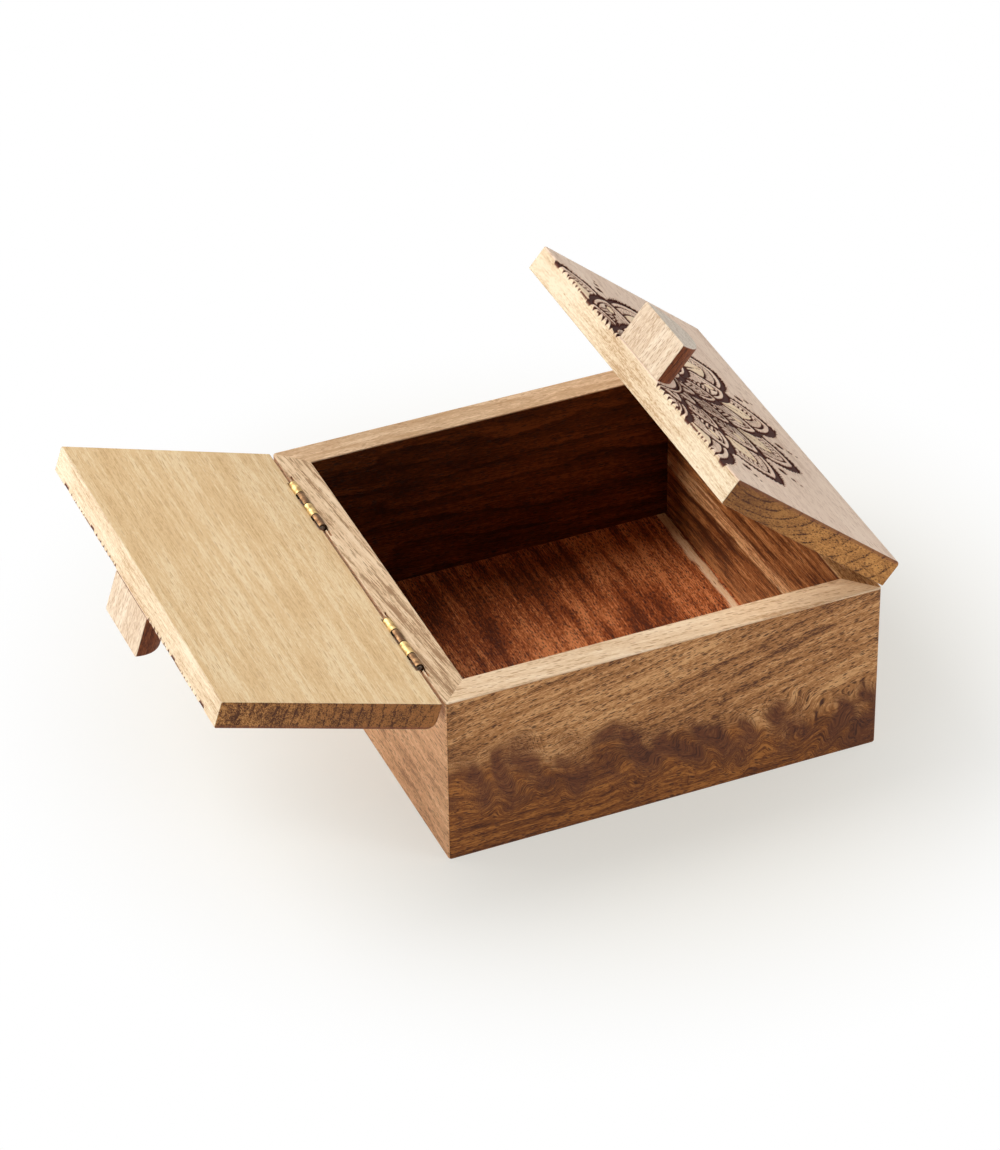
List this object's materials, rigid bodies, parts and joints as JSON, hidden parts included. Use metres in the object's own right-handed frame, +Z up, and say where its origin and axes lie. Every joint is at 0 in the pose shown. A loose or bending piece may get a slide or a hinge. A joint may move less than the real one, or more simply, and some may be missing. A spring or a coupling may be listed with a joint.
{
  "type": "keepsake box",
  "caption": "Square wooden keepsake box whose lid is split into two leaves, each hinged on its own side and carrying half of a round knob.",
  "frame": {"origin": "middle of the box's underside, on the surface it stands on", "axes": "+Z up; X across the two lid leaves, from the left leaf to the right one; Y along the hinge lines, to the back"},
  "size_m": [0.3183, 0.2032, 0.1744],
  "materials": {
    "wall_wood": "satin",
    "floor_wood": "satin",
    "lid_wood": "satin",
    "knob_wood": "matte",
    "dowel_wood": "matte",
    "hinge_brass": "satin",
    "pin_steel": "satin",
    "brad_steel": "satin"
  },
  "bodies": {
    "box": {"back_wall": "wall_wood", "floor_brads": "brad_steel", "floor_panel": "floor_wood", "front_wall": "wall_wood", "left_back_hinge_pin": "pin_steel", "left_back_hinge_wall_leaf": "hinge_brass", "left_front_hinge_pin": "pin_steel", "left_front_hinge_wall_leaf": "hinge_brass", "left_wall": "wall_wood", "left_wall_hinge_brads": "brad_steel", "right_back_hinge_pin": "pin_steel", "right_back_hinge_wall_leaf": "hinge_brass", "right_front_hinge_pin": "pin_steel", "right_front_hinge_wall_leaf": "hinge_brass", "right_wall": "wall_wood", "right_wall_hinge_brads": "brad_steel"},
    "left_lid": {"left_back_hinge_lid_leaf": "hinge_brass", "left_front_hinge_lid_leaf": "hinge_brass", "left_knob_dowels": "dowel_wood", "left_knob_half": "knob_wood", "left_lid": "lid_wood", "left_lid_hinge_brads": "brad_steel"},
    "right_lid": {"right_back_hinge_lid_leaf": "hinge_brass", "right_front_hinge_lid_leaf": "hinge_brass", "right_knob_dowels": "dowel_wood", "right_knob_half": "knob_wood", "right_lid": "lid_wood", "right_lid_hinge_brads": "brad_steel"}
  },
  "joints": [
    {"name": "left_lid_hinge", "type": "hinge", "parent": "box", "child": "left_lid", "pos_m": [-0.1022, 0, 0.0842], "axis": [0, -1, 0], "range_deg": [-162.25, 17.75]},
    {"name": "right_lid_hinge", "type": "hinge", "parent": "box", "child": "right_lid", "pos_m": [0.1022, 0, 0.0842], "axis": [0, 1, 0], "range_deg": [-40, 140]}
  ]
}
